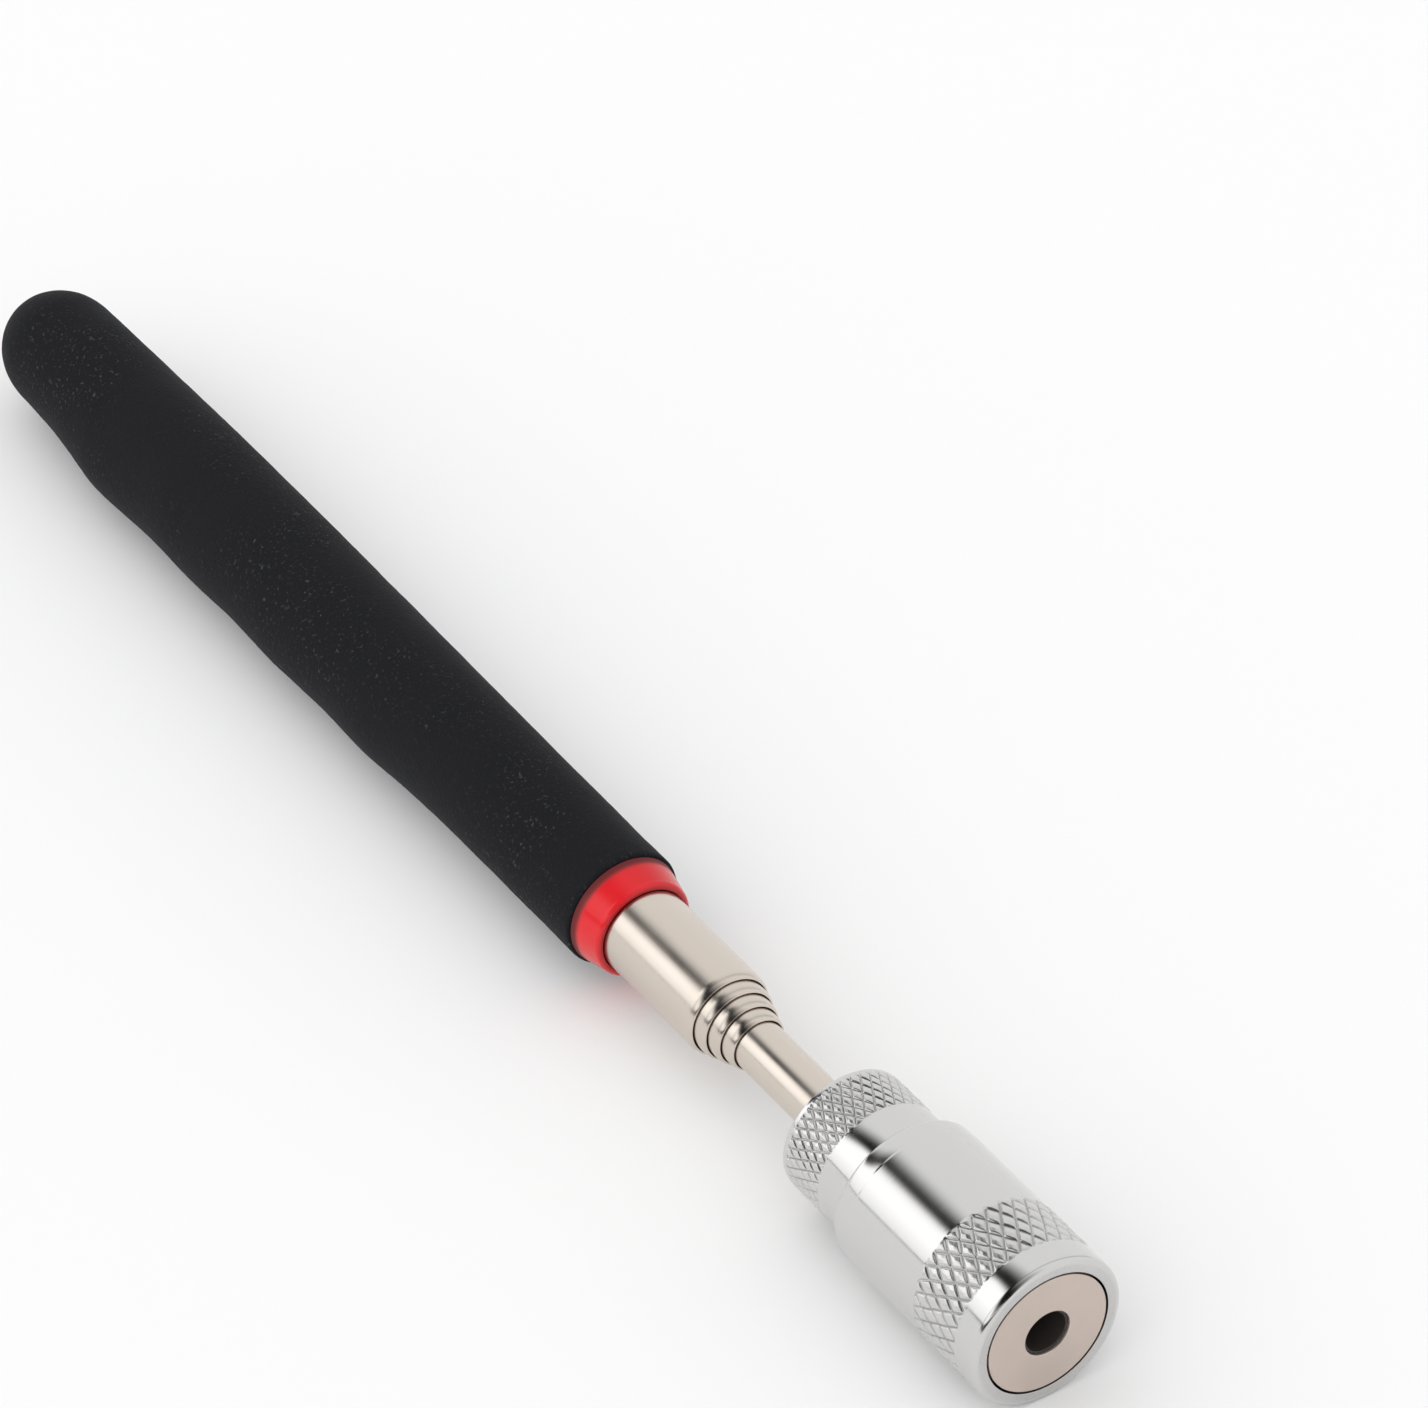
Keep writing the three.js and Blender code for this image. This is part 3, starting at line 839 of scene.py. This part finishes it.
def build_camera():
    right = Vector((math.cos(VIEW_AZIMUTH), math.sin(VIEW_AZIMUTH), 0))
    level = Vector((-math.sin(VIEW_AZIMUTH), math.cos(VIEW_AZIMUTH), 0))
    forward = level * math.cos(VIEW_ELEVATION) - Vector((0, 0, math.sin(VIEW_ELEVATION)))
    up = right.cross(forward)
    face = Vector((FACE_X, 0, AXIS_Z))
    aim_point = face - right * FACE_RIGHT_OF_AIM + up * FACE_BELOW_AIM
    data = bpy.data.cameras.new("camera")
    data.sensor_width = SENSOR_MM
    data.lens = LENS_MM
    data.clip_start = 0.01
    camera = bpy.data.objects.new("camera", data)
    position = aim_point - forward * VIEW_DISTANCE
    rotation = Matrix((right, up, -forward)).transposed().to_4x4()
    camera.matrix_world = Matrix.Translation(position) @ rotation
    bpy.context.scene.collection.objects.link(camera)
    bpy.context.scene.camera = camera


def build_floor():
    mesh = bpy.data.meshes.new("floor")
    half = FLOOR_HALF_LENGTH
    corners = [(-half, -half, 0), (half, -half, 0), (half, half, 0), (-half, half, 0)]
    mesh.from_pydata(corners, [], [(0, 1, 2, 3)])
    floor = bpy.data.objects.new("floor", mesh)
    bpy.context.scene.collection.objects.link(floor)
    material, shader = new_material("pale_floor", (0.88, 0.88, 0.88), 0.0, 0.9)
    shader.inputs["Specular IOR Level"].default_value = 0.1
    mesh.materials.append(material)


def slot_share(world, along, past_centre):
    """The light that the soft dark slot leaves."""
    reach = follow(world, along, [(-0.6, 7), (-0.1, 14), (0.6, 20)])
    from_slot = calculate(world, "DIVIDE", past_centre, reach)
    above = ranged(world, from_slot, 1, 0, -3.6, -0.3, smooth=True)
    below = ranged(world, from_slot, 0, 1, 0.5, 2.1, smooth=True)
    return ranged(world, calculate(world, "MAXIMUM", above, below), SLOT_LIGHT, 1, 0, 1)


def panel_share(world, along, degrees, past_centre):
    """The light of the front panel, which fades downwards and towards the magnet's end."""
    top = ranged(world, past_centre, 0, 1, 3, 11)
    fade = ranged(world, degrees, 1, 0.45, 148, 170)
    foot = ranged(world, degrees, 1, 0, 171.3, 171.8)
    side = ranged(world, along, 1, 0, 0.1, 0.45, smooth=True)
    return ranged(world, product(world, top, fade, foot, side), 1, PANEL_LIGHT, 0, 1)


def seam_share(world, along, degrees):
    """The light that the thin dark seam leaves."""
    reach = ranged(world, along, 0.7, 10, -0.6, 0.6)
    from_seam = calculate(world, "ABSOLUTE", calculate(world, "SUBTRACT", degrees, SEAM_ANGLE))
    from_edge = calculate(world, "DIVIDE", from_seam, reach)
    return ranged(world, from_edge, SEAM_LIGHT, 1, 0.6, 1.1, smooth=True)


def bar_share(world, along):
    """The light that the dim bar leaves."""
    from_bar = calculate(world, "ABSOLUTE", calculate(world, "SUBTRACT", along, BAR_ALONG))
    return ranged(world, from_bar, BAR_LIGHT, 1, 0.04, 0.13, smooth=True)


def build_sky():
    """The studio that the metal mirrors, as a light tent that runs along the tool.

    Degrees go round the tool's axis, from 0 at +Y over the top to 180 at -Y. A bright panel
    stands at the front. A soft dark slot lies above it and widens towards +X, and a thin
    dark seam runs under it. A dim bar crosses the tent. Dull surfaces get more light, mostly
    from the front, as the photographer's lamps would give them.
    """
    world = bpy.data.worlds.new("studio")
    world.use_nodes = True
    bpy.context.scene.world = world
    direction = add_node(world, "ShaderNodeTexCoord").outputs["Generated"]
    parts = add_node(world, "ShaderNodeSeparateXYZ")
    link(world, direction, parts.inputs["Vector"])
    along, across, up = parts.outputs
    radians = calculate(world, "ARCTAN2", up, across)
    degrees = calculate(world, "MULTIPLY", radians, math.degrees(1))
    slot_centre = follow(world, along, [(-0.68, 125), (-0.58, 109.5), (-0.5, 109.5), (-0.1, 126)])
    past_centre = calculate(world, "SUBTRACT", degrees, slot_centre)
    mirrored = product(
        world,
        slot_share(world, along, past_centre),
        panel_share(world, along, degrees, past_centre),
        seam_share(world, along, degrees),
        bar_share(world, along),
    )
    paths = add_node(world, "ShaderNodeLightPath")
    light = add_node(world, "ShaderNodeMix")
    link(world, paths.outputs["Is Diffuse Ray"], light.inputs["Factor"])
    link(world, mirrored, light.inputs["A"])
    link(world, ranged(world, across, FRONT_LIGHT, BACK_LIGHT, -0.7, 0.7), light.inputs["B"])
    background = world.node_tree.nodes["Background"]
    background.inputs["Color"].default_value = (1, 1, 1, 1)
    seen_directly = paths.outputs["Is Camera Ray"]
    strength = calculate(world, "MAXIMUM", light.outputs["Result"], seen_directly)
    link(world, strength, background.inputs["Strength"])


def build_studio():
    bpy.context.scene.view_settings.view_transform = "Standard"
    build_sky()
    build_floor()


build_camera()
build_studio()
build_grip()
build_trim_ring()
build_tubes()
build_housing()
build_collar()
build_magnet()
build_lamp()
build_lamp_holder()
finish_inner_nodes()
